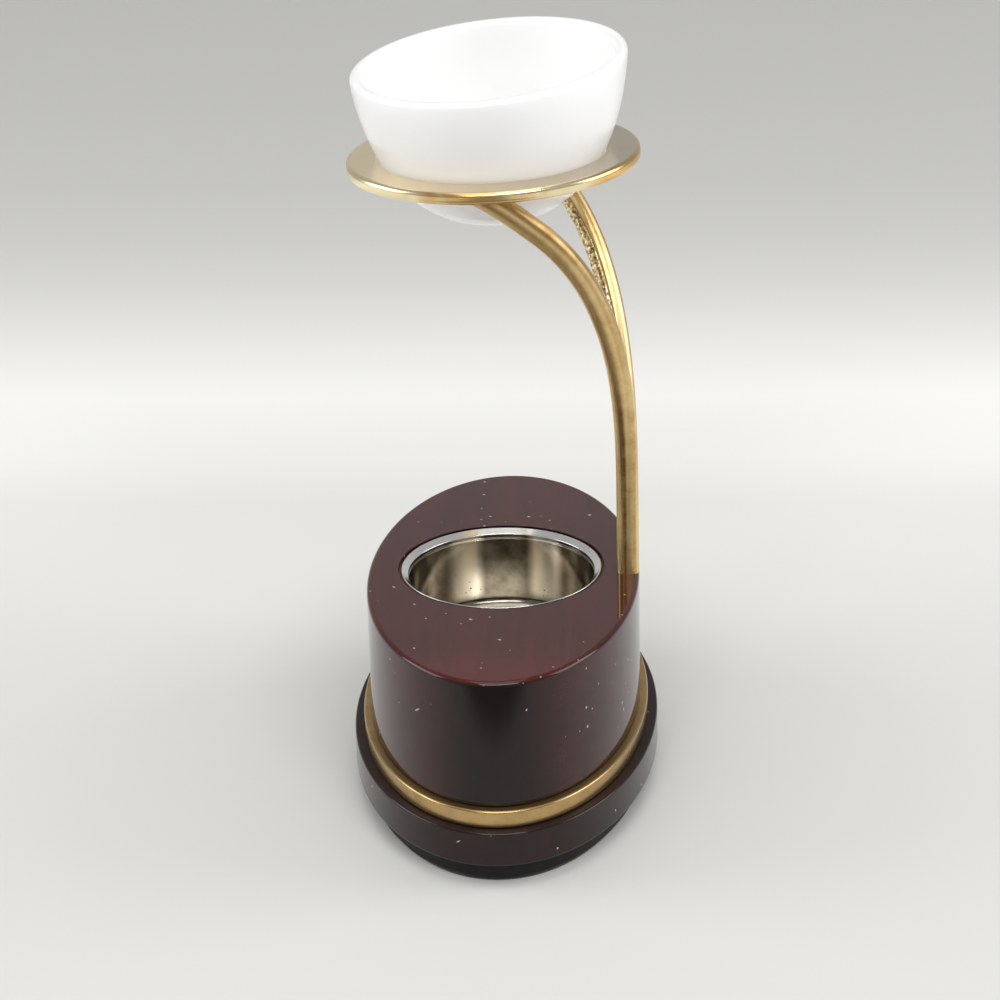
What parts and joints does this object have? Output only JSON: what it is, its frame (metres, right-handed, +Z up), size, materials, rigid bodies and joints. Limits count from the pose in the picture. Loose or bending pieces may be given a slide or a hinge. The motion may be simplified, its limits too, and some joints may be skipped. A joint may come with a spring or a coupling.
{
  "type": "essential oil burner",
  "caption": "Oval lacquered wooden base with a metal tealight cup and a forked brass stem, whose ring holds a loose white oil bowl above the flame.",
  "frame": {"origin": "middle of the underside, on the surface that the burner stands on", "axes": "+Z up, +X towards the stem, +Y along the oval, away from the viewer of the picture"},
  "size_m": [0.0674, 0.1208, 0.1637],
  "materials": {
    "felt": "black felt",
    "black_board": "black-stained, dull",
    "plinth_lacquer": "dark mahogany under gloss lacquer",
    "band_brass": "satin",
    "block_lacquer": "mahogany under high-gloss lacquer",
    "screw_steel": "zinc plated",
    "cup_nickel": "bright nickel plate, lightly pitted inside",
    "fork_brass": "cast, polished outside, rough inside the fork",
    "ring_brass": "satin, tarnished at the solder joints",
    "white_glaze": "white gloss glaze"
  },
  "bodies": {
    "base": {"felt_pad": "felt", "foot_board": "black_board", "plinth": "plinth_lacquer", "brass_band": "band_brass", "block": "block_lacquer", "base_screw_front": "screw_steel", "base_screw_rear": "screw_steel", "stem_fork": "fork_brass", "bowl_ring": "ring_brass"},
    "cup": {"tealight_cup": "cup_nickel"},
    "bowl": {"oil_bowl": "white_glaze"}
  },
  "joints": [
    {"name": "bowl_lift", "type": "slide", "parent": "base", "child": "bowl", "axis": [0, 0, 1], "range_m": [0, 0.04]},
    {"name": "cup_lift", "type": "slide", "parent": "base", "child": "cup", "axis": [0, 0, 1], "range_m": [0, 0.03]}
  ]
}
